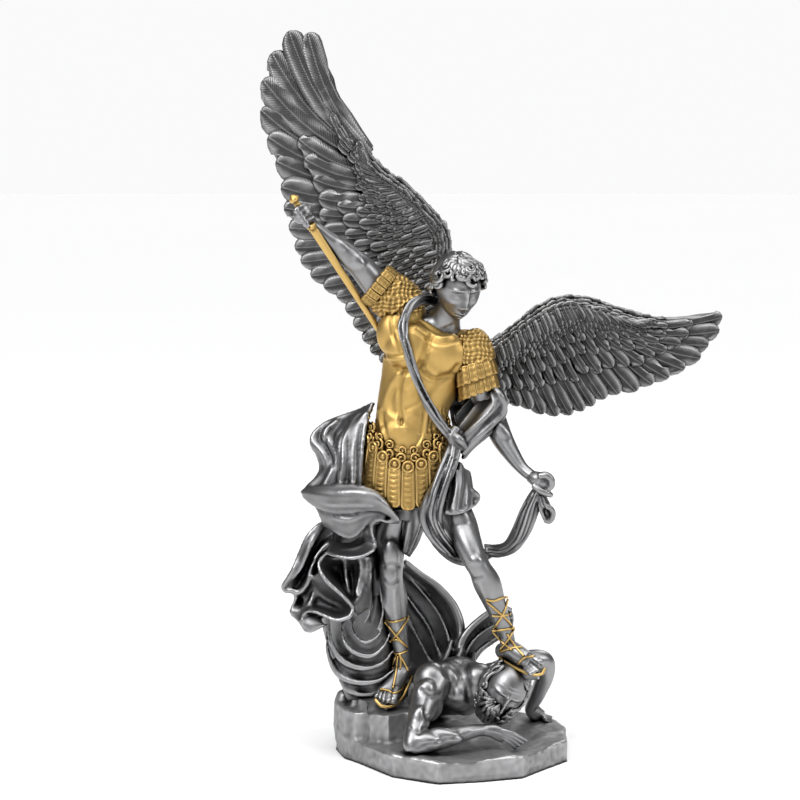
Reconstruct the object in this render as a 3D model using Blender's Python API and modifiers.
"""A cast figurine of a winged archangel who raises a sword over a fallen demon, on a slab of rock.

Four castings are built: the statue itself, which is the angel, his cloak, the demon and the rock in one
piece, the two wings that plug into sockets in the angel's back, and the sword that is held in his fist.
Metres, +Z up. The origin is the middle of the flat underside, and the statue faces -Y.
"""

import math

import bpy
import bmesh
from mathutils import Matrix, Vector

# Sizes that are set by themselves, in metres
STATUE_HEIGHT = 0.3735  # rock underside to the tip of the raised wing
SLAB_THICKNESS = 0.0115
SLAB_EDGE_BEVEL = 0.0012
BLADE_WIDTH = 0.0044
BLADE_THICKNESS = 0.0022
BLADE_LENGTH = 0.0850
GRIP_RADIUS = 0.0016
GRIP_LENGTH = 0.0130
POMMEL_RADIUS = 0.0026
GUARD_LENGTH = 0.0120
GUARD_RADIUS = 0.0017
PEG_RADIUS = 0.0050  # the peg on each wing that plugs into the back
PEG_LENGTH = 0.0090
FIT_GAP = 0.0003  # clearance between castings
FEATHER_THICKNESS = 0.0020
CLOTH_THICKNESS = 0.0030

WELD = 0.000003  # points this close become one after a cut

# The modelling voxel and the facets left on each casting
VOXEL = 0.0010
STATUE_FACETS = 5500
WING_FACETS = 1300

# The figure is laid out on a front view. One unit is a share of the statue's height, here a millimetre.
# A place is (column, row, depth): its column and row on an 800 by 800 grid, and its depth in units,
# which is 0 over the middle of the slab and grows away from the viewer.
UNIT = STATUE_HEIGHT / 373.5
GRID_MIDDLE = 400
VIEW_DISTANCE = 1108  # units
VIEW_HEIGHT = 300  # units
VIEW_ASIDE = -25  # units
VIEW_PITCH = math.radians(5.92)
GRID_PER_ANGLE = 2197  # grid squares for a slope of one
DRAWN_SLAB_TOP = 11.5  # units, the slab's top in the front view

SILVER = ("antique pewter", (0.30, 0.30, 0.31), 0.34, 0.9)
DARK_SILVER = ("darkened pewter", (0.16, 0.16, 0.165), 0.42, 0.9)
GOLD = ("brushed gold", (0.66, 0.46, 0.18), 0.34, 0.9)


def place(column, row, depth):
    """The real place of a point of the front view."""
    slope = (GRID_MIDDLE - row) / GRID_PER_ANGLE
    cosine, sine = math.cos(VIEW_PITCH), math.sin(VIEW_PITCH)
    ahead = depth + VIEW_DISTANCE
    up = ahead * (slope * cosine - sine) / (cosine + slope * sine)
    reach = ahead * cosine - up * sine
    across = VIEW_ASIDE + (column - GRID_MIDDLE) * reach / GRID_PER_ANGLE
    figure_up = (up + VIEW_HEIGHT - DRAWN_SLAB_TOP) * UNIT
    return Vector((across * UNIT, depth * UNIT, SLAB_THICKNESS + figure_up))


def smooth_line(points, count):
    """Reads count points off a smooth curve through the given ones, which are tuples of any one length."""
    values = [Vector(p) for p in points]
    ends = [2 * values[0] - values[1], *values, 2 * values[-1] - values[-2]]
    line = []
    for i in range(count):
        along = i * (len(values) - 1) / (count - 1)
        k = min(int(along), len(values) - 2)
        t = along - k
        a, b, c, d = ends[k : k + 4]
        curve = 2 * b + (c - a) * t + (2 * a - 5 * b + 4 * c - d) * t**2
        line.append((curve + (3 * b - 3 * c + d - a) * t**3) / 2)
    return line


def mesh_from(points, faces):
    """A closed mesh of rings, with its normals turned outwards."""
    mesh = bpy.data.meshes.new("clay")
    mesh.from_pydata(points, [], faces)
    form = bmesh.new()
    form.from_mesh(mesh)
    bmesh.ops.remove_doubles(form, verts=form.verts, dist=1e-6)
    bmesh.ops.recalc_face_normals(form, faces=form.faces)
    form.to_mesh(mesh)
    form.free()
    return mesh


def limb(stations, rings=None, sides=14):
    """A loft of ellipses through stations of (column, row, depth, half width, half depth)."""
    rings = rings or 4 * len(stations)
    line = smooth_line([(*place(*s[:3]), s[3] * UNIT, s[4] * UNIT) for s in stations], rings)
    points = []
    for i, station in enumerate(line):
        before, after = line[max(i - 1, 0)], line[min(i + 1, rings - 1)]
        ahead = Vector(after[:3]) - Vector(before[:3])
        ahead.normalize()
        across = ahead.cross(Vector((0, 1, 0)))
        if across.length < 0.25:
            across = ahead.cross(Vector((0, 0, 1)))
        across.normalize()
        back = across.cross(ahead)
        for k in range(sides):
            turn = math.tau * k / sides
            edge = across * math.cos(turn) * station[3] + back * math.sin(turn) * station[4]
            points.append(Vector(station[:3]) + edge)
    faces = [tuple(range(sides)), tuple(range((rings - 1) * sides, rings * sides))]
    for i in range(rings - 1):
        for k in range(sides):
            a, b = i * sides + k, i * sides + (k + 1) % sides
            faces.append((a, b, b + sides, a + sides))
    return mesh_from(points, faces)


def rope(stations, rings=None, sides=8):
    """A round cord of folds through stations of (column, row, depth, radius)."""
    return limb([(*s, s[3]) for s in stations], rings, sides)


def mass(column, row, depth, across, deep, tall, turn=0, lean=0):
    """An ellipsoid of muscle, with its half sizes in units and its turn in the front view in degrees."""
    form = bmesh.new()
    bmesh.ops.create_uvsphere(form, u_segments=16, v_segments=10, radius=1)
    shape = Matrix.Diagonal((across * UNIT, deep * UNIT, tall * UNIT, 1))
    spin = Matrix.Rotation(math.radians(turn), 4, "Y") @ Matrix.Rotation(math.radians(lean), 4, "X")
    move = Matrix.Translation(place(column, row, depth))
    bmesh.ops.transform(form, matrix=move @ spin @ shape, verts=form.verts)
    mesh = bpy.data.meshes.new("clay")
    form.to_mesh(mesh)
    form.free()
    return mesh


def cloth(edges, across=18, along=18, thickness=CLOTH_THICKNESS):
    """A sheet of cloth lofted through edges, which are lists of places, with an even thickness."""
    rails = [smooth_line([tuple(place(*p)) for p in edge], along) for edge in edges]
    columns = [smooth_line([tuple(r[i]) for r in rails], across) for i in range(along)]
    points, faces = [], []
    for i in range(along):
        for k in range(across):
            ahead = columns[min(i + 1, along - 1)][k] - columns[max(i - 1, 0)][k]
            side = columns[i][min(k + 1, across - 1)] - columns[i][max(k - 1, 0)]
            normal = ahead.cross(side)
            normal.normalize()
            points += [columns[i][k] + normal * thickness / 2, columns[i][k] - normal * thickness / 2]

    def corner(i, k, side):
        return 2 * (i * across + k) + side

    for i in range(along - 1):
        for k in range(across - 1):
            for side in (0, 1):
                ring = [corner(i, k, side), corner(i + 1, k, side), corner(i + 1, k + 1, side)]
                faces.append((*ring, corner(i, k + 1, side)))
    for i in range(along - 1):
        for k in (0, across - 1):
            faces.append((corner(i, k, 0), corner(i + 1, k, 0), corner(i + 1, k, 1), corner(i, k, 1)))
    for k in range(across - 1):
        for i in (0, along - 1):
            faces.append((corner(i, k, 0), corner(i, k + 1, 0), corner(i, k + 1, 1), corner(i, k, 1)))
    return mesh_from(points, faces)


def torso():
    """The muscled breastplate with its shoulders, chest and belly."""
    trunk = [
        (415, 500, 4, 21, 16),
        (411, 452, 2, 19.5, 14.5),
        (411, 428, 2, 18.5, 13),
        (414, 402, 3, 18.5, 13),
        (421, 378, 4, 20.5, 14),
        (427, 355, 4, 21.5, 14.5),
        (434, 335, 5, 19, 12),
        (441, 320, 6, 11, 8),
    ]
    clay = [limb(trunk)]
    clay.append(mass(441, 358, -6, 12, 7, 11))
    clay.append(mass(398, 340, -5, 10, 7, 10.5))
    clay.append(mass(404, 438, -7, 11, 6, 9))
    clay.append(mass(396, 410, -6, 6, 5.5, 9))
    clay.append(mass(414, 410, -6, 6, 5.5, 9))
    clay.append(mass(404, 315, 5, 13, 11, 12, turn=-40))
    clay.append(mass(470, 347, 3, 11, 11, 10, turn=35))
    clay.append(rope([(436, 342, 4, 9.5), (436, 342, 18, 8)], rings=5))
    clay.append(rope([(466, 356, 2, 9.5), (466, 356, 18, 8)], rings=5))
    return clay


def skirt():
    """The war skirt: an oval bell with a row of straps round its front and sides."""
    clay = [limb([(410, 448, 2, 20, 15), (408, 475, 2, 22, 16.5), (407, 498, 2, 22, 16.5)])]
    straps, reach = 15, math.radians(250)
    for i in range(straps):
        turn = -math.pi / 2 + reach * (i / (straps - 1) - 0.5)
        top = (409 + 42 * math.cos(turn), 456, 2 + 15.5 * math.sin(turn))
        bottom = (408 + 47 * math.cos(turn), 506 + 5 * math.cos(2 * turn), 2 + 18.5 * math.sin(turn))
        clay.append(rope([(*top, 2.6), (*bottom, 2.7)], rings=5))
    return clay


def sleeves():
    """Two tiers of lappets round the top of each arm."""
    right = [(404, 306, 5, 11.5, 10.5), (389, 294, 4, 12.5, 11), (377, 285, 3, 11, 9.5)]
    left = [(474, 350, 2, 11, 11), (480, 371, 2, 11.5, 11), (484, 392, 2, 11, 10.5)]
    clay = [limb(right), limb(left)]
    for axis, across, side in ((right, 21, (-0.63, 0.78)), (left, 20, (1, -0.22))):
        (c0, r0, d0), (c1, r1, d1) = axis[0][:3], axis[2][:3]
        for i in range(10):
            turn = math.tau * i / 10
            shift = across * math.cos(turn)
            deep = 10.5 * math.sin(turn)
            start = (c0 + side[0] * shift, r0 + side[1] * shift, d0 + deep, 2.2)
            end = (c1 + side[0] * shift * 1.1, r1 + side[1] * shift * 1.1, d1 + deep * 1.05, 2.4)
            clay.append(rope([start, end], rings=4))
    return clay


def angel_head():
    """The neck, the bowed head and a crown of short curls."""
    clay = [limb([(441, 326, 6, 10, 9), (448, 312, 2, 7.6, 7.4), (455, 299, -3, 7.6, 7.6)])]
    clay.append(mass(461, 283, -5, 13, 15, 15.5, turn=12, lean=-28))
    clay.append(mass(461, 303, -13, 8.5, 8, 9.5, turn=15, lean=-20))
    clay.append(mass(464, 305, -20.5, 2, 2.6, 3.4, turn=15, lean=-15))
    curls = 15
    for i in range(curls):
        turn = math.pi * (0.10 - 1.2 * i / (curls - 1))
        column = 457 + 27 * math.cos(turn)
        row = 281 + 15 * math.sin(turn) - 0.12 * (column - 457)
        clay.append(mass(column, row - 4, -7 - 4 * math.sin(-turn), 4.4, 5, 4.4))
    clay.append(mass(446, 296, 0, 6.5, 7, 7))
    clay.append(mass(483, 283, -4, 4.5, 8, 6.5))
    return clay


def hand(wrist, palm, knuckles, tips, radius=1.7):
    """A small hand: the palm and four curled fingers."""
    clay = [limb([(*wrist, 3, 2.8), (*palm, 4.2, 3), (*knuckles, 4, 2.6)])]
    for i in range(4):
        shift = 3.2 * (i - 1.5)
        spread = (tips[0] + shift * 0.8, tips[1] + shift * 0.8, tips[2])
        start = (knuckles[0] + shift, knuckles[1] + shift, knuckles[2])
        clay.append(rope([(*start, radius), (*spread, radius * 0.8)], rings=4, sides=6))
    return clay


def angel_arms():
    """The raised sword arm and the lowered left arm with its hand closed on the sash."""
    right = [
        (398, 304, 6, 9.5, 9),
        (376, 284, 3, 7.5, 7.5),
        (362, 268, 1, 6.6, 6.6),
        (352, 259, -1, 6, 6),
        (340, 249, -1, 5.6, 5.4),
        (327, 238, -3, 4, 4),
        (315, 227, -5, 3.1, 3),
        (308, 219, -7, 3.4, 3.4),
    ]
    left = [
        (474, 350, 2, 9.5, 9),
        (481, 372, 2, 8.6, 8.4),
        (489, 398, 2, 7.2, 7),
        (494, 416, 1, 6.2, 6.2),
        (501, 436, -2, 5.7, 5.5),
        (511, 453, -6, 4.5, 4.5),
        (522, 468, -10, 3.3, 3.2),
        (534, 478, -14, 3.1, 2.9),
    ]
    clay = [limb(right), limb(left)]
    clay.append(mass(303, 214, -10, 4.8, 5.6, 5.4, turn=45))
    for i in range(4):
        knuckle = (297 + 3.1 * i, 209 + 4.4 * i)
        bend = [(knuckle[0] + 5, knuckle[1] - 3), (knuckle[0], knuckle[1] + 1), (knuckle[0] + 3, knuckle[1] + 4)]
        finger = [(*bend[0], -9, 1.8), (*bend[1], -15.5, 1.8), (*bend[2], -15.5, 1.6)]
        clay.append(rope(finger, rings=7, sides=6))
    clay += hand((532, 477, -13), (541, 481, -16), (548, 486, -18), (545, 493, -18))
    return clay


def angel_legs():
    """The straight right leg on the rock, and the left leg that treads on the demon's head."""
    right = [
        (405, 500, 6, 11, 12),
        (391, 532, 5, 7.4, 8),
        (391, 557, 3, 6.8, 7.4),
        (391, 576, 1, 6, 7),
        (394, 600, 4, 6.2, 7),
        (397, 622, 7, 5.5, 6.2),
        (400, 641, 8, 4.5, 4.8),
        (402, 655, 8, 4.2, 4.6),
        (402, 668, 7, 4.6, 5),
    ]
    left = [
        (440, 492, 3, 11, 11),
        (459, 522, -8, 8.8, 9),
        (467, 541, -16, 7.4, 8),
        (474, 558, -21, 6.3, 7),
        (480, 569, -22, 6, 6.4),
        (487, 583, -20, 7, 7),
        (494, 601, -17, 5.8, 6.2),
        (501, 620, -14, 4.5, 4.8),
        (507, 636, -12, 3.8, 4.2),
        (508, 645, -12, 4, 4.2),
    ]
    right_foot = [
        (409, 668, 12, 4.5, 4.5),
        (401, 674, 5, 4.8, 4.6),
        (394, 687, -1, 6, 3.4),
        (388, 699, -6, 6.8, 2.4),
        (385, 703, -8, 5.5, 1.8),
    ]
    left_foot = [
        (501, 651, -7, 4, 4),
        (511, 650, -14, 4.8, 4.4),
        (525, 659, -21, 5, 3.2),
        (537, 667, -26, 4.8, 2),
        (542, 670, -28, 4, 1.6),
    ]
    return [limb(right), limb(left), limb(right_foot), limb(left_foot)]


def sashes():
    """The sash across the chest, its knot, and the tail that loops round the left leg to the hand."""
    across = [
        (436, 300, 7, 2.6),
        (421, 299, -3, 2.6),
        (408, 308, -9, 2.6),
        (402, 328, -13, 2.6),
        (407, 348, -15, 2.6),
        (414, 372, -15, 2.6),
        (426, 402, -13, 2.6),
        (446, 430, -9, 2.6),
        (455, 444, -6, 2.8),
    ]
    tail = [
        (455, 440, -8, 3),
        (447, 470, -14, 3.6),
        (434, 500, -17, 4.4),
        (432, 522, -17, 4.6),
        (443, 544, -16, 4),
        (460, 560, -9, 3),
        (476, 560, 2, 2.8),
        (490, 551, 4, 2.6),
        (505, 549, 2, 3),
        (521, 538, -6, 3.8),
        (531, 519, -12, 4),
        (538, 500, -16, 3.4),
        (541, 490, -17, 3),
    ]
    clay = [rope(across, rings=30), rope(tail, rings=44)]
    clay.append(mass(456, 441, -7, 5.5, 5, 6.5))
    clay.append(mass(548, 514, -16, 4, 4, 6))
    clay.append(rope([(543, 494, -17, 2.4), (546, 506, -17, 2.6)], rings=4))
    wrap = [
        [(494, 388, -4), (500, 396, -7), (503, 408, -6), (498, 420, -2)],
        [(478, 402, -3), (484, 415, -10), (487, 425, -9), (484, 432, -3)],
        [(458, 428, -3), (463, 441, -9), (464, 451, -8), (461, 459, -2)],
    ]
    back = [
        [(494, 388, -4), (501, 396, 8), (498, 410, 12)],
        [(474, 395, 4), (478, 412, 12), (480, 430, 12)],
        [(455, 415, 4), (458, 432, 10), (462, 456, 6)],
    ]
    hem = [
        [(452, 462, -6), (460, 468, -8), (466, 474, -5), (468, 480, 2)],
        [(448, 484, -15), (460, 487, -15), (469, 490, -9), (473, 494, 2)],
        [(444, 513, -19), (457, 512, -20), (468, 508, -15), (475, 503, 0)],
    ]
    clay += [cloth(wrap), cloth(back), cloth(hem)]
    clay.append(rope([(462, 510, -16, 2.2), (472, 503, -12, 2.8), (475, 494, -8, 2.8)], rings=8))
    return clay


def cloak():
    """The wind-blown cloak: its core behind the right leg, the swags on the hip and the fluttering hem."""
    core = [
        (392, 440, 12, 18, 8),
        (370, 480, 12, 22, 9),
        (366, 520, 13, 19, 9),
        (362, 560, 16, 18, 9),
        (361, 600, 16, 15.5, 10),
        (364, 640, 15, 16, 11),
        (371, 672, 14, 16, 12),
        (376, 700, 12, 15, 12),
    ]
    swag = [
        [(368, 405, 6), (350, 411, 12), (330, 425, 14), (316, 440, 10)],
        [(366, 425, -2), (350, 432, 2), (336, 444, 6), (321, 458, 5)],
        [(362, 455, -8), (348, 460, -4), (333, 468, 0), (318, 476, 4)],
        [(362, 492, -10), (345, 492, -8), (325, 490, -4), (304, 488, 2)],
    ]
    roll = [
        [(303, 490, 2), (330, 483, -10), (362, 482, -16), (392, 493, -18), (412, 512, -15)],
        [(306, 497, 0), (332, 495, -16), (362, 493, -22), (392, 500, -22), (412, 517, -17)],
        [(314, 505, 2), (340, 511, -15), (368, 508, -20), (396, 508, -20), (414, 525, -15)],
    ]
    under = [
        [(318, 508, 6), (342, 512, -10), (368, 509, -15), (388, 512, -14)],
        [(330, 524, 8), (346, 530, -6), (366, 530, -13), (381, 528, -12)],
        [(338, 545, 8), (350, 553, -8), (364, 554, -13), (375, 544, -8)],
    ]
    trumpet = [
        [(374, 550, 0), (362, 556, -11), (350, 558, -12), (338, 562, -2)],
        [(374, 572, 2), (366, 580, -8), (354, 585, -10), (340, 578, -2)],
        [(374, 597, 4), (370, 606, -8), (360, 606, -12), (342, 597, -6)],
        [(376, 612, 4), (370, 622, -6), (356, 627, -9), (338, 618, -2)],
    ]
    flag = [
        [(352, 520, 12), (328, 526, 8), (306, 540, 6), (301, 560, 8), (292, 574, 6)],
        [(356, 545, 10), (334, 550, 4), (318, 566, 0), (306, 580, 2), (283, 590, 4)],
        [(358, 575, 10), (340, 578, 2), (326, 592, -4), (310, 600, -2), (298, 608, 2)],
        [(356, 600, 8), (345, 602, 0), (332, 612, -6), (314, 620, -5), (293, 617, 1)],
        [(352, 624, 6), (338, 624, -2), (326, 627, -8), (316, 632, -8), (308, 634, -4)],
    ]
    clay = [limb(core), cloth(swag), cloth(roll), cloth(under), cloth(trumpet), cloth(flag)]
    folds = [
        [(333, 625, 6, 2.6), (336, 660, 2, 3), (351, 686, 0, 3), (375, 694, 0, 3), (393, 686, 4, 2.6)],
        [(346, 632, 2, 2.4), (348, 660, -2, 2.6), (361, 677, -3, 2.8), (381, 681, -3, 2.6), (396, 672, 2, 2.4)],
        [(383, 615, 0, 2.4), (370, 640, -3, 2.8), (370, 656, -4, 2.6), (383, 655, -4, 2.4), (394, 636, 0, 2)],
        [(362, 502, -18, 2.4), (377, 513, -19, 2.4), (381, 530, -15, 2.4), (374, 546, -11, 2.4)],
    ]
    clay += [rope(fold, rings=18) for fold in folds]
    tail = [
        [(416, 510, 6), (424, 528, 4), (418, 548, 6)],
        [(410, 520, 10), (411, 545, 8), (404, 566, 8)],
        [(402, 530, 14), (398, 556, 12), (396, 580, 12)],
    ]
    clay.append(cloth(tail))
    return clay


def demon():
    """The fallen demon: his trunk, arms and legs, his bearded head and his two bat wings."""
    trunk = [
        (494, 688, -4, 9, 9),
        (478, 687, 0, 12, 12),
        (462, 686, 6, 16, 12.5),
        (452, 688, 18, 15, 13),
        (438, 694, 32, 12, 12),
        (420, 704, 42, 10, 10),
    ]
    near_arm = [
        (434, 682, -8, 9.5, 9.5),
        (426, 700, -17, 7.6, 7.6),
        (418, 722, -28, 5.8, 6.2),
        (412, 744, -36, 4.8, 5.2),
        (413, 749, -37, 4.4, 4.4),
    ]
    near_forearm = [
        (411, 748, -37, 4.6, 4.6),
        (426, 743, -36, 5.6, 5),
        (446, 738, -33, 5, 4.6),
        (468, 732, -29, 3.8, 3.6),
        (486, 730, -26, 3, 2.8),
        (504, 736, -24, 4.6, 2.4),
        (524, 745, -23, 2.6, 1.6),
    ]
    far_arm = [
        (498, 676, 8, 8, 8),
        (524, 663, 14, 6.4, 6.4),
        (543, 661, 18, 5.4, 5.4),
        (545, 674, 20, 5, 5),
        (538, 693, 24, 4.2, 4.2),
        (531, 709, 28, 3.4, 3.2),
        (538, 717, 29, 4, 2.4),
        (549, 720, 30, 3, 1.6),
    ]
    thigh = [(420, 704, 40, 9, 9), (380, 700, 44, 8.5, 8.5), (352, 700, 38, 6.5, 6.5)]
    shin = [(352, 700, 38, 6.2, 6.2), (378, 712, 46, 5.5, 5.5), (410, 716, 48, 4, 4), (424, 718, 46, 3.4, 3)]
    clay = [limb(trunk), limb(near_arm), limb(near_forearm), limb(far_arm), limb(thigh), limb(shin)]
    clay.append(mass(440, 682, -2, 13, 11, 10, turn=-10))
    clay.append(mass(507, 690, -11, 12, 13, 15, turn=42))
    clay.append(mass(497, 706, -14, 8.5, 9.5, 10, turn=42))
    clay.append(mass(510, 697, -24, 2.2, 3, 3.6, turn=42))
    clay.append(mass(489, 700, -6, 5, 8, 10, turn=30))
    clay.append(mass(498, 668, -8, 7, 9, 5, turn=-30))
    left_wing = [
        [(448, 660, 22), (461, 634, 27), (456, 608, 31), (438, 587, 34), (404, 561, 32)],
        [(440, 664, 24), (444, 640, 33), (436, 615, 38), (420, 596, 39), (400, 575, 36)],
        [(428, 668, 26), (424, 650, 34), (414, 625, 39), (402, 605, 39), (388, 590, 34)],
    ]
    right_wing = [
        [(455, 660, 18), (462, 638, 20), (478, 621, 22), (498, 608, 24), (512, 610, 26)],
        [(462, 661, 20), (472, 643, 24), (486, 630, 27), (501, 622, 29), (514, 618, 28)],
        [(474, 660, 20), (483, 652, 24), (492, 645, 27), (502, 638, 28), (513, 628, 27)],
    ]
    clay += [cloth(left_wing), cloth(right_wing)]
    for rim in (left_wing[0], right_wing[0]):
        clay.append(rope([(*p, 2.4) for p in rim], rings=16))
    return clay


def rock_forms():
    """The rock under the cloak and the sloping step under the right foot."""
    mound = [(352, 706, 14, 12, 12), (380, 700, 16, 16, 16), (420, 712, 24, 12, 12)]
    step = [(410, 690, 14, 9, 9), (398, 706, 4, 9.5, 7), (390, 716, -3, 9, 5)]
    foot = [(372, 735, 10, 26, 24), (372, 716, 12, 24, 20)]
    return [limb(mound), limb(step), limb(foot), mass(400, 735, 10, 20, 18, 12)]


def fuse(name, clay, voxel, facets):
    """Joins overlapping closed forms into one smooth closed casting with about the given number of facets."""
    joined = bmesh.new()
    for mesh in clay:
        joined.from_mesh(mesh)
        bpy.data.meshes.remove(mesh)
    lump = bpy.data.meshes.new(name)
    joined.to_mesh(lump)
    joined.free()
    rough = bpy.data.objects.new(name + "_clay", lump)
    bpy.context.scene.collection.objects.link(rough)
    remesh = rough.modifiers.new("Remesh", "REMESH")
    remesh.mode = "VOXEL"
    remesh.voxel_size = voxel
    smooth = rough.modifiers.new("Smooth", "SMOOTH")
    smooth.factor = 0.5
    smooth.iterations = 2
    triangles = rough.modifiers.new("Triangles", "TRIANGULATE")
    triangles.quad_method = "BEAUTY"
    graph = bpy.context.evaluated_depsgraph_get()
    dense = bpy.data.meshes.new_from_object(rough.evaluated_get(graph))
    bpy.data.objects.remove(rough)
    largest = keep_largest(dense)
    casting = bpy.data.objects.new(name + "_dense", largest)
    bpy.context.scene.collection.objects.link(casting)
    fewer = casting.modifiers.new("Decimate", "DECIMATE")
    fewer.ratio = facets / len(largest.polygons)
    graph = bpy.context.evaluated_depsgraph_get()
    light = bpy.data.meshes.new_from_object(casting.evaluated_get(graph))
    bpy.data.objects.remove(casting)
    light.name = name
    return light


def keep_largest(mesh):
    """Keeps a mesh's largest shell and drops the sealed bubbles that the voxels leave inside."""
    form = bmesh.new()
    form.from_mesh(mesh)
    form.faces.ensure_lookup_table()
    seen, shells = set(), []
    for start in form.faces:
        if start.index in seen:
            continue
        shell, waiting = [], [start]
        seen.add(start.index)
        while waiting:
            face = waiting.pop()
            shell.append(face)
            for edge in face.edges:
                for near in edge.link_faces:
                    if near.index not in seen:
                        seen.add(near.index)
                        waiting.append(near)
        shells.append(shell)
    shells.sort(key=len)
    for shell in shells[:-1]:
        bmesh.ops.delete(form, geom=shell, context="FACES")
    form.to_mesh(mesh)
    form.free()
    return mesh


def material(recipe):
    """A Principled material from a name, colour, roughness and metallic value."""
    name, colour, roughness, metallic = recipe
    made = bpy.data.materials.get(name) or bpy.data.materials.new(name)
    made.use_nodes = True
    shader = made.node_tree.nodes["Principled BSDF"]
    shader.inputs["Base Color"].default_value = (*colour, 1)
    shader.inputs["Roughness"].default_value = roughness
    shader.inputs["Metallic"].default_value = metallic
    return made


def add_object(name, mesh, collection, recipe=None):
    made = bpy.data.objects.new(name, mesh)
    collection.objects.link(made)
    if recipe:
        mesh.materials.clear()
        mesh.materials.append(material(recipe))
    return made


def as_cutter(made):
    made.hide_render = True
    made.display_type = "WIRE"
    return made


def apply_modifiers(made):
    """Replaces an object's mesh with its evaluated one."""
    graph = bpy.context.evaluated_depsgraph_get()
    mesh = bpy.data.meshes.new_from_object(made.evaluated_get(graph))
    form = bmesh.new()
    form.from_mesh(mesh)
    bmesh.ops.remove_doubles(form, verts=form.verts, dist=WELD)
    bmesh.ops.dissolve_degenerate(form, edges=form.edges, dist=WELD)
    bmesh.ops.triangulate(form, faces=form.faces)
    form.to_mesh(mesh)
    form.free()
    made.modifiers.clear()
    made.data = mesh


def combine(made, other, operation):
    """Joins or cuts a casting by another object, which is a helper from then on."""
    tool = made.modifiers.new(operation.title(), "BOOLEAN")
    tool.operation = operation
    tool.solver = "EXACT"
    tool.use_self = True
    tool.object = other
    as_cutter(other)
    apply_modifiers(made)


def prism(name, outline, bottom, top, collection, bevel=0.0):
    """A slab with a flat outline between two heights."""
    line = bpy.data.curves.new(name, "CURVE")
    line.dimensions = "2D"
    line.fill_mode = "BOTH"
    line.extrude = (top - bottom) / 2
    spline = line.splines.new("POLY")
    spline.points.add(len(outline) - 1)
    for point, (x, y) in zip(spline.points, outline):
        point.co = (x, y, 0, 1)
    spline.use_cyclic_u = True
    drawn = add_object(name + "_outline", line, collection)
    drawn.location.z = (top + bottom) / 2
    bpy.context.view_layer.update()
    graph = bpy.context.evaluated_depsgraph_get()
    mesh = bpy.data.meshes.new_from_object(drawn.evaluated_get(graph))
    form = bmesh.new()
    form.from_mesh(mesh)
    bmesh.ops.transform(form, matrix=drawn.matrix_world, verts=form.verts)
    bmesh.ops.remove_doubles(form, verts=form.verts, dist=1e-6)
    bmesh.ops.recalc_face_normals(form, faces=form.faces)
    bmesh.ops.dissolve_limit(form, angle_limit=1e-3, verts=form.verts, edges=form.edges)
    if bevel:
        rim = [e for e in form.edges if all(v.co.z > top - 1e-6 for v in e.verts)]
        bmesh.ops.bevel(form, geom=rim, offset=bevel, segments=1, affect="EDGES")
    bmesh.ops.triangulate(form, faces=form.faces)
    form.to_mesh(mesh)
    form.free()
    bpy.data.objects.remove(drawn)
    return add_object(name, mesh, collection)


def slab_outline():
    """The broken outline of the rock slab, seen from above, from its corners in units."""
    corners = [
        (-59, 16),
        (-54, -3),
        (-46, -13),
        (-29, -39),
        (-6, -52),
        (15, -48),
        (36, -41),
        (48, -25),
        (60.5, -9),
        (62, 20),
        (55, 38),
        (38, 50),
        (8, 55),
        (-24, 53),
        (-48, 40),
    ]
    return [(x * UNIT, y * UNIT) for x, y in corners]


def step_outlines():
    """The outlines and heights of the squared blocks at the left of the slab, in units over its top."""
    front = [(-47, -2), (-41, -13), (-31, -19), (-22, -12), (-14, -12), (-12, 14), (-44, 16)]
    left = [(-47, -1), (-42, -8), (-36, -4), (-34, 22), (-45, 25)]
    return [(front, 15.0), (left, 20.0)]


def build_statue(parts, helpers):
    """Fuses the figures, then joins the slab and the squared blocks so that they keep their sharp edges."""
    clay = torso() + skirt() + sleeves() + angel_head() + angel_arms() + angel_legs()
    clay += sashes() + cloak() + demon() + rock_forms()
    statue = add_object("statue", fuse("statue", clay, VOXEL * UNIT / 0.001, STATUE_FACETS), parts, SILVER)
    slab = prism("slab", slab_outline(), 0.0, SLAB_THICKNESS, helpers, SLAB_EDGE_BEVEL)
    reach = 400 * UNIT
    square = [(-reach, -reach), (reach, -reach), (reach, reach), (-reach, reach)]
    below = prism("below_slab", square, -reach, SLAB_THICKNESS / 2, helpers)
    combine(statue, below, "DIFFERENCE")
    for number, (outline, height) in enumerate(step_outlines()):
        corners = [(x * UNIT, y * UNIT) for x, y in outline]
        bottom, top = SLAB_THICKNESS / 2, SLAB_THICKNESS + height * UNIT
        combine(statue, prism(f"block_{number}", corners, bottom, top, helpers, UNIT), "UNION")
    combine(statue, slab, "UNION")
    statue.data.materials.clear()
    statue.data.materials.append(material(SILVER))
    return statue


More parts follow.
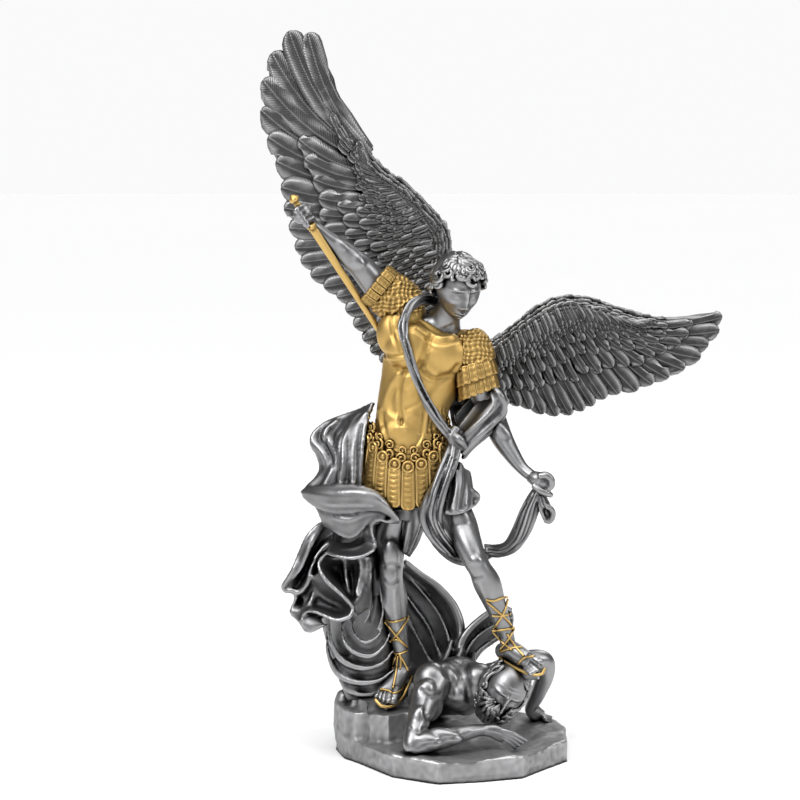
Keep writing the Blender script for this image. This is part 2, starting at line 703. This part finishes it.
# Each wing, from its tip to the shoulder: the middle of its thick leading edge, the line its webs of
# feathers end on, the tips of its flight feathers and the places where their quills start
RIGHT_WING = {
    "edge": [
        (306, 44),
        (313, 78),
        (326, 109),
        (343, 139),
        (361, 159),
        (382, 179),
        (401, 191),
        (416, 207),
        (430, 221),
        (439, 235),
        (441, 250),
        (440, 270),
        (438, 300),
        (436, 340),
    ],
    "trail": [
        (303, 43),
        (288, 47),
        (276, 68),
        (270, 97),
        (273, 135),
        (284, 170),
        (291, 205),
        (299, 233),
        (309, 256),
        (324, 277),
        (340, 294),
        (352, 312),
        (363, 331),
        (374, 347),
        (386, 358),
        (404, 362),
        (424, 356),
        (436, 346),
    ],
    "tips": [
        (308, 33),
        (289, 31),
        (272, 53),
        (263, 80),
        (261, 110),
        (268, 137),
        (276, 161),
        (281, 187),
        (284, 208),
        (289, 228),
        (295, 248),
        (301, 262),
        (311, 276),
        (324, 287),
        (337, 297),
        (346, 311),
        (354, 326),
        (363, 340),
        (371, 352),
        (380, 361),
    ],
    "roots": [(366, 150), (366, 160), (370, 178), (380, 205), (392, 232), (405, 262), (418, 295), (430, 326)],
    "seat": (436, 342),
    "span": 340,
    "depths": (24, 44),
    "bow": 0.07,
}
LEFT_WING = {
    "edge": [
        (716, 317),
        (690, 323),
        (665, 327),
        (640, 325),
        (619, 319),
        (598, 311),
        (579, 307),
        (561, 307),
        (543, 315),
        (525, 328),
        (507, 343),
        (488, 354),
        (468, 358),
    ],
    "trail": [
        (717, 322),
        (711, 334),
        (701, 346),
        (689, 357),
        (672, 367),
        (650, 375),
        (630, 382),
        (608, 388),
        (592, 398),
        (574, 405),
        (558, 408),
        (543, 406),
        (529, 401),
        (516, 399),
        (504, 396),
        (490, 386),
        (478, 374),
        (468, 362),
    ],
    "tips": [
        (722, 317),
        (719, 331),
        (708, 345),
        (700, 358),
        (684, 369),
        (668, 378),
        (652, 384),
        (636, 391),
        (618, 394),
        (604, 399),
        (592, 406),
        (582, 411),
        (570, 415),
        (556, 416),
        (542, 414),
        (530, 409),
        (518, 406),
        (505, 406),
    ],
    "roots": [(640, 322), (628, 328), (608, 326), (585, 320), (562, 322), (540, 332), (518, 344), (495, 356)],
    "seat": (466, 356),
    "span": 270,
    "depths": (24, 42),
    "bow": -0.07,
}
# The rows of feathers: where each starts and ends along its quill, its width as a share of the room
# between the tips, and its lift off the web in units
FEATHER_ROWS = [(0.0, 1.0, 1.25, 0.8), (0.1, 0.60, 1.0, 2.2), (-0.05, 0.33, 0.85, 3.2)]
WEB_THICKNESS = 3.0  # units
SEAT_DEPTH = 20.0  # units, the flat on the back that the wings butt against
HUB_RADIUS = 0.0074


def feather(start, end, bow, width, thickness):
    """A blade from start to end that bows sideways, round at its tip and narrow at its root."""
    ahead = end - start
    side = ahead.cross(Vector((0, 1, 0))).normalized()
    normal = side.cross(ahead).normalized()
    outline = [(0.0, 0.45), (0.25, 0.8), (0.55, 1.0), (0.8, 1.0), (0.93, 0.75), (1.0, 0.3)]
    rings, sides = len(outline), 6
    points = []
    for along, share in outline:
        middle = start + ahead * along + side * bow * ahead.length * math.sin(math.pi * along)
        for k in range(sides):
            turn = math.tau * k / sides
            edge = side * math.cos(turn) * width * share / 2
            points.append(middle + edge + normal * math.sin(turn) * thickness / 2)
    faces = [tuple(range(sides)), tuple(range((rings - 1) * sides, rings * sides))]
    for i in range(rings - 1):
        for k in range(sides):
            a, b = i * sides + k, i * sides + (k + 1) % sides
            faces.append((a, b, b + sides, a + sides))
    return mesh_from(points, faces)


def wing_depth(plan, column, row):
    """The wing's depth, which grows from the shoulder out to its tip."""
    away = math.hypot(column - plan["seat"][0], row - plan["seat"][1]) / plan["span"]
    return plan["depths"][0] * (1 - away) + plan["depths"][1] * away


def on_wing(plan, point, lift=0.0):
    return (point[0], point[1], wing_depth(plan, *point[:2]) + lift)


def build_wing(name, plan, parts):
    """One wing: its web, rows of feathers on both faces and a thick leading edge."""
    count = len(plan["tips"])
    edge = smooth_line(plan["edge"], 30)
    trail = smooth_line(plan["trail"], 30)
    middle = [a.lerp(b, 0.5) for a, b in zip(edge, trail)]
    clay = [cloth([[on_wing(plan, p) for p in rail] for rail in (edge, middle, trail)], 12, 30, WEB_THICKNESS * UNIT)]
    radii = [1.5 + 3.2 * min(1, k / 14) for k in range(30)]
    clay.append(rope([(*on_wing(plan, p), r) for p, r in zip(edge, radii)], rings=40))
    roots = smooth_line(plan["roots"], count)
    tips = [Vector(tip) for tip in plan["tips"]]
    for i in range(count):
        near, far = tips[max(i - 1, 0)], tips[min(i + 1, count - 1)]
        room = min((far - near).length / (2 if 0 < i < count - 1 else 1), 24) * 0.5
        for first, last, share, lift in FEATHER_ROWS:
            for face in (-1, 1):
                a, b = roots[i].lerp(tips[i], first), roots[i].lerp(tips[i], last)
                start = place(*on_wing(plan, a, face * lift))
                end = place(*on_wing(plan, b, face * lift))
                clay.append(feather(start, end, plan["bow"], room * share * UNIT, FEATHER_THICKNESS))
    mesh = fuse(name, clay, VOXEL * UNIT / 0.001, WING_FACETS)
    return add_object(name, mesh, parts, DARK_SILVER)


def peg(name, centre, radius, length, helpers):
    """A round peg or socket core that points forwards, into the back."""
    form = bmesh.new()
    turned = Matrix.Translation(centre) @ Matrix.Rotation(math.pi / 2, 4, "X")
    bmesh.ops.create_cone(
        form, cap_ends=True, segments=20, radius1=radius, radius2=radius, depth=length, matrix=turned
    )
    bmesh.ops.triangulate(form, faces=form.faces)
    mesh = bpy.data.meshes.new(name)
    form.to_mesh(mesh)
    form.free()
    return add_object(name, mesh, helpers)


def ball(name, centre, radius, helpers):
    form = bmesh.new()
    bmesh.ops.create_uvsphere(form, u_segments=12, v_segments=8, radius=radius, matrix=Matrix.Translation(centre))
    mesh = bpy.data.meshes.new(name)
    form.to_mesh(mesh)
    form.free()
    return add_object(name, mesh, helpers)


def guard_bar(name, fist, ahead, radius, length, helpers):
    """The cross-guard, which lies across the blade and points at the viewer."""
    side = Vector((0, 1, 0))
    side = (side - ahead * side.dot(ahead)).normalized()
    centre = fist + ahead * (GRIP_LENGTH / 2 + GUARD_RADIUS * 0.6)
    return bar(name, centre, side, -length / 2, length / 2, radius, helpers)


def build_sword(parts, helpers):
    """The sword: a tapered blade, a guard, a grip inside the fist and a ball pommel."""
    fist, aim = place(303, 213, -12), place(384, 338, 6)
    ahead = (aim - fist).normalized()
    half = GRIP_LENGTH / 2
    sword = bar("sword", fist, ahead, -half - GUARD_RADIUS, half + GUARD_RADIUS, GRIP_RADIUS, parts)
    combine(sword, ball("pommel", fist - ahead * (half + POMMEL_RADIUS * 0.7), POMMEL_RADIUS, helpers), "UNION")
    combine(sword, guard_bar("guard", fist, ahead, GUARD_RADIUS, GUARD_LENGTH, helpers), "UNION")
    blade = bmesh.new()
    middle = fist + ahead * (half + GUARD_RADIUS * 0.6 + BLADE_LENGTH / 2)
    turned = ahead.to_track_quat("Z", "Y").to_matrix().to_4x4()
    flat = Matrix.Diagonal((1, BLADE_THICKNESS / BLADE_WIDTH, 1, 1))
    bmesh.ops.create_cone(
        blade,
        cap_ends=True,
        segments=8,
        radius1=BLADE_WIDTH / 2,
        radius2=BLADE_WIDTH * 0.3,
        depth=BLADE_LENGTH,
        matrix=Matrix.Translation(middle) @ turned @ flat,
    )
    mesh = bpy.data.meshes.new("blade")
    blade.to_mesh(mesh)
    blade.free()
    combine(sword, add_object("blade", mesh, helpers), "UNION")
    sword.data.materials.clear()
    sword.data.materials.append(material(GOLD))
    return fist, ahead


def seat_cylinder(name, plan, radius, first, last, helpers):
    """A round bar along the depth at a wing's seat, between two depths in units."""
    column, row = plan["seat"]
    seat = place(column, row, SEAT_DEPTH)
    seat.y = (first + last) / 2 * UNIT
    return peg(name, seat, radius, (last - first) * UNIT, helpers)


def fit_wing(name, plan, wing, statue, helpers):
    """Seats a wing on the flat of the back: a hub and a peg on the wing, and a pad and a socket for them."""
    gap, peg_length = FIT_GAP / UNIT, PEG_LENGTH / UNIT
    wide, tall = 900 * UNIT, 900 * UNIT
    front = box(f"{name}_front", (0, 0, STATUE_HEIGHT / 2), (wide, 0, tall), (-200 * UNIT, (SEAT_DEPTH + gap) * UNIT), helpers)
    combine(wing, front, "DIFFERENCE")
    hub = seat_cylinder(f"{name}_hub", plan, HUB_RADIUS, SEAT_DEPTH + gap, SEAT_DEPTH + 6, helpers)
    combine(wing, hub, "UNION")
    tenon = (SEAT_DEPTH - peg_length + gap, SEAT_DEPTH + 4)
    combine(wing, seat_cylinder(f"{name}_peg", plan, PEG_RADIUS, *tenon, helpers), "UNION")
    wing.data.materials.clear()
    wing.data.materials.append(material(DARK_SILVER))
    behind = seat_cylinder(f"{name}_clear", plan, HUB_RADIUS * 1.25, SEAT_DEPTH, SEAT_DEPTH + 14, helpers)
    combine(statue, behind, "DIFFERENCE")
    pad = seat_cylinder(f"{name}_pad", plan, HUB_RADIUS, SEAT_DEPTH - 12, SEAT_DEPTH, helpers)
    combine(statue, pad, "UNION")
    hole = (SEAT_DEPTH - peg_length, SEAT_DEPTH + 4)
    combine(statue, seat_cylinder(f"{name}_socket", plan, PEG_RADIUS + FIT_GAP, *hole, helpers), "DIFFERENCE")


def box(name, centre, size, depths, helpers):
    """A box round a centre, between two depths in metres."""
    form = bmesh.new()
    bmesh.ops.create_cube(form, size=1)
    scale = Matrix.Diagonal((size[0], depths[1] - depths[0], size[2], 1))
    move = Matrix.Translation((centre[0], (depths[0] + depths[1]) / 2, centre[2]))
    bmesh.ops.transform(form, matrix=move @ scale, verts=form.verts)
    bmesh.ops.triangulate(form, faces=form.faces)
    mesh = bpy.data.meshes.new(name)
    form.to_mesh(mesh)
    form.free()
    return add_object(name, mesh, helpers)


def bar(name, start, ahead, first, last, radius, helpers):
    """A round bar from one distance to another along a line."""
    form = bmesh.new()
    turned = ahead.to_track_quat("Z", "Y").to_matrix().to_4x4()
    middle = Matrix.Translation(start + ahead * (first + last) / 2) @ turned
    bmesh.ops.create_cone(
        form, cap_ends=True, segments=12, radius1=radius, radius2=radius, depth=last - first, matrix=middle
    )
    bmesh.ops.triangulate(form, faces=form.faces)
    mesh = bpy.data.meshes.new(name)
    form.to_mesh(mesh)
    form.free()
    return add_object(name, mesh, helpers)


def fit_sword(statue, fist, ahead, helpers):
    """Opens the fist round the grip, and clears the pommel, the guard and the blade."""
    half = GRIP_LENGTH / 2
    bars = [
        ("grip_hole", -half - 0.001, half + 0.001, GRIP_RADIUS + FIT_GAP),
        ("pommel_room", -half - 3 * POMMEL_RADIUS, -half + 0.0006, POMMEL_RADIUS + FIT_GAP),
        ("blade_room", half, half + BLADE_LENGTH + 0.002, BLADE_WIDTH / 2 + FIT_GAP),
    ]
    for name, first, last, radius in bars:
        combine(statue, bar(name, fist, ahead, first, last, radius, helpers), "DIFFERENCE")
    sizes = (GUARD_RADIUS + FIT_GAP, GUARD_LENGTH + 2 * FIT_GAP)
    combine(statue, guard_bar("guard_room", fist, ahead, *sizes, helpers), "DIFFERENCE")


def main():
    for old in list(bpy.data.objects):
        bpy.data.objects.remove(old)
    parts = bpy.data.collections.new("archangel statue")
    helpers = bpy.data.collections.new("cutters")
    for made in (parts, helpers):
        bpy.context.scene.collection.children.link(made)
    statue = build_statue(parts, helpers)
    for name, plan in (("right_wing", RIGHT_WING), ("left_wing", LEFT_WING)):
        fit_wing(name, plan, build_wing(name, plan, parts), statue, helpers)
    fist, ahead = build_sword(parts, helpers)
    fit_sword(statue, fist, ahead, helpers)
    keep_largest(statue.data)
    statue.data.materials.clear()
    statue.data.materials.append(material(SILVER))


if __name__ == "__main__":
    main()
